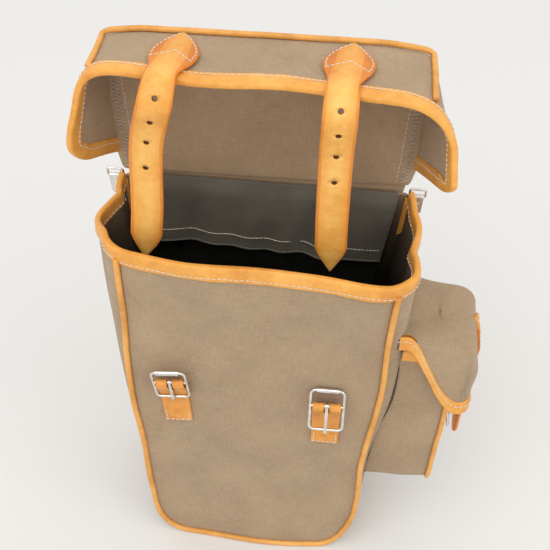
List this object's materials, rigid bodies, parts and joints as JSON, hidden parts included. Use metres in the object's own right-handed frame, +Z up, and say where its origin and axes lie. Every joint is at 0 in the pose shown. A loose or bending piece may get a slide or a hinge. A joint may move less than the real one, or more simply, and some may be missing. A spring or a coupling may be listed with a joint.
{
  "type": "saddle bag",
  "caption": "Tapered canvas and leather bicycle bag with a box lid on two buckled straps, a flapped side pocket, shoulder rings and rack hooks on its back.",
  "frame": {"origin": "centre of the base's underside", "axes": "+Z up, -Y to the outer side with the buckles, +Y to the bicycle, +X to the side pocket"},
  "size_m": [0.3229, 0.1474, 0.477],
  "materials": {
    "canvas": "woven, matt",
    "leather": "vegetable tanned, satin, white stitching",
    "lining": "coated nylon",
    "board": "matt",
    "nickel": "nickel plated"
  },
  "bodies": {
    "bag": {"front_panel": "canvas", "back_panel": "canvas", "base_panel": "canvas", "left_side_panel": "canvas", "right_side_panel": "canvas", "mouth_binding": "leather", "front_piping": "leather", "back_board": "board", "weather_flap": "lining", "ring_rivets": "nickel", "right_ring_clip": "nickel", "left_ring_clip": "nickel", "right_ring_ear": "leather", "left_ring_ear": "leather", "right_hook": "nickel", "left_hook": "nickel", "hook_rivets": "nickel", "left_tab_foot": "leather", "right_tab_foot": "leather", "pocket_tab_foot": "leather", "pocket_face": "canvas", "pocket_side_strip": "canvas", "pocket_binding": "leather", "pocket_piping": "leather"},
    "lid": {"lid_top": "canvas", "lid_front_skirt": "canvas", "lid_left_skirt": "canvas", "lid_right_skirt": "canvas", "lid_binding": "leather", "lid_piping": "leather", "left_strap_anchor": "leather", "right_strap_anchor": "leather"},
    "left_strap": {"left_strap": "leather"},
    "right_strap": {"right_strap": "leather"},
    "pocket_flap": {"pocket_flap": "canvas", "pocket_flap_binding": "leather", "pocket_strap_anchor": "leather"},
    "pocket_strap": {"pocket_strap": "leather"},
    "left_ring": {"left_ring": "nickel"},
    "right_ring": {"right_ring": "nickel"},
    "left_tab": {"left_buckle_tab": "leather"},
    "left_frame": {"left_buckle_frame": "nickel"},
    "left_roller": {"left_buckle_roller": "nickel"},
    "left_prong": {"left_buckle_prong": "nickel"},
    "right_tab": {"right_buckle_tab": "leather"},
    "right_frame": {"right_buckle_frame": "nickel"},
    "right_roller": {"right_buckle_roller": "nickel"},
    "right_prong": {"right_buckle_prong": "nickel"},
    "pocket_tab": {"pocket_buckle_tab": "leather"},
    "pocket_frame": {"pocket_buckle_frame": "nickel"},
    "pocket_roller": {"pocket_buckle_roller": "nickel"},
    "pocket_prong": {"pocket_buckle_prong": "nickel"}
  },
  "joints": [
    {"name": "lid_hinge", "type": "hinge", "parent": "bag", "child": "lid", "pos_m": [0, 0.06075, 0.344], "axis": [-1, 0, 0], "range_deg": [-90, 90]},
    {"name": "left_strap_flex", "type": "hinge", "parent": "lid", "child": "left_strap", "pos_m": [-0.0605, -0.0025, 0.47275], "axis": [-1, 0, 0], "range_deg": [-90, 90], "deforming": ["left_strap"]},
    {"name": "right_strap_flex", "type": "hinge", "parent": "lid", "child": "right_strap", "pos_m": [0.0605, -0.0025, 0.47275], "axis": [-1, 0, 0], "range_deg": [-90, 90], "deforming": ["right_strap"]},
    {"name": "pocket_flap_hinge", "type": "hinge", "parent": "bag", "child": "pocket_flap", "pos_m": [0.116, 0.004, 0.26725], "axis": [0, -1, 0], "range_deg": [0, 80]},
    {"name": "pocket_strap_flex", "type": "hinge", "parent": "pocket_flap", "child": "pocket_strap", "pos_m": [0.17875, 0.004, 0.20045], "axis": [0, -1, 0], "range_deg": [-80, 0], "deforming": ["pocket_strap"]},
    {"name": "left_ring_swing", "type": "hinge", "parent": "bag", "child": "left_ring", "pos_m": [-0.124, 0.06, 0.3385], "axis": [1, 0, 0], "range_deg": [-90, 40]},
    {"name": "right_ring_swing", "type": "hinge", "parent": "bag", "child": "right_ring", "pos_m": [0.124, 0.06, 0.3385], "axis": [1, 0, 0], "range_deg": [-90, 40]},
    {"name": "left_tab_flex", "type": "hinge", "parent": "bag", "child": "left_tab", "pos_m": [-0.06325, -0.05194, 0.17254], "axis": [0.9962, 0.0067, 0.0869], "range_deg": [0, 75], "stiffness_Nm_per_rad": 0.08},
    {"name": "left_frame_tilt", "type": "hinge", "parent": "left_tab", "child": "left_frame", "pos_m": [-0.067, -0.05443, 0.21569], "axis": [0.9962, 0.0067, 0.0869], "range_deg": [-35, 0]},
    {"name": "left_prong_swing", "type": "hinge", "parent": "left_frame", "child": "left_prong", "pos_m": [-0.067, -0.05443, 0.21569], "axis": [-0.9962, -0.0067, -0.0869], "range_deg": [0, 150]},
    {"name": "left_roller_spin", "type": "hinge", "parent": "left_frame", "child": "left_roller", "pos_m": [-0.0682, -0.05605, 0.22955], "axis": [0.9962, 0.0067, 0.0869], "continuous": true},
    {"name": "right_tab_flex", "type": "hinge", "parent": "bag", "child": "right_tab", "pos_m": [0.064, -0.05295, 0.15937], "axis": [1, 0, 0], "range_deg": [0, 75], "stiffness_Nm_per_rad": 0.08},
    {"name": "right_frame_tilt", "type": "hinge", "parent": "right_tab", "child": "right_frame", "pos_m": [0.064, -0.05543, 0.20269], "axis": [1, 0, 0], "range_deg": [0, 35]},
    {"name": "right_prong_swing", "type": "hinge", "parent": "right_frame", "child": "right_prong", "pos_m": [0.064, -0.05543, 0.20269], "axis": [-1, 0, 0], "range_deg": [0, 150]},
    {"name": "right_roller_spin", "type": "hinge", "parent": "right_frame", "child": "right_roller", "pos_m": [0.064, -0.04878, 0.21501], "axis": [1, 0, 0], "continuous": true},
    {"name": "pocket_tab_flex", "type": "hinge", "parent": "bag", "child": "pocket_tab", "pos_m": [0.16401, 0.004, 0.1069], "axis": [0, 1, 0], "range_deg": [0, 75], "stiffness_Nm_per_rad": 0.08},
    {"name": "pocket_frame_tilt", "type": "hinge", "parent": "pocket_tab", "child": "pocket_frame", "pos_m": [0.17174, 0.004, 0.1496], "axis": [0, 1, 0], "range_deg": [-12, 23]},
    {"name": "pocket_prong_swing", "type": "hinge", "parent": "pocket_frame", "child": "pocket_prong", "pos_m": [0.17174, 0.004, 0.1496], "axis": [0, -1, 0], "range_deg": [0, 150]},
    {"name": "pocket_roller_spin", "type": "hinge", "parent": "pocket_frame", "child": "pocket_roller", "pos_m": [0.16945, 0.004, 0.16341], "axis": [0, 1, 0], "continuous": true}
  ],
  "couplings": [
    {"joint": "left_strap_flex", "follows": "lid_hinge", "ratio": -1},
    {"joint": "right_strap_flex", "follows": "lid_hinge", "ratio": -1},
    {"joint": "pocket_strap_flex", "follows": "pocket_flap_hinge", "ratio": -1}
  ]
}
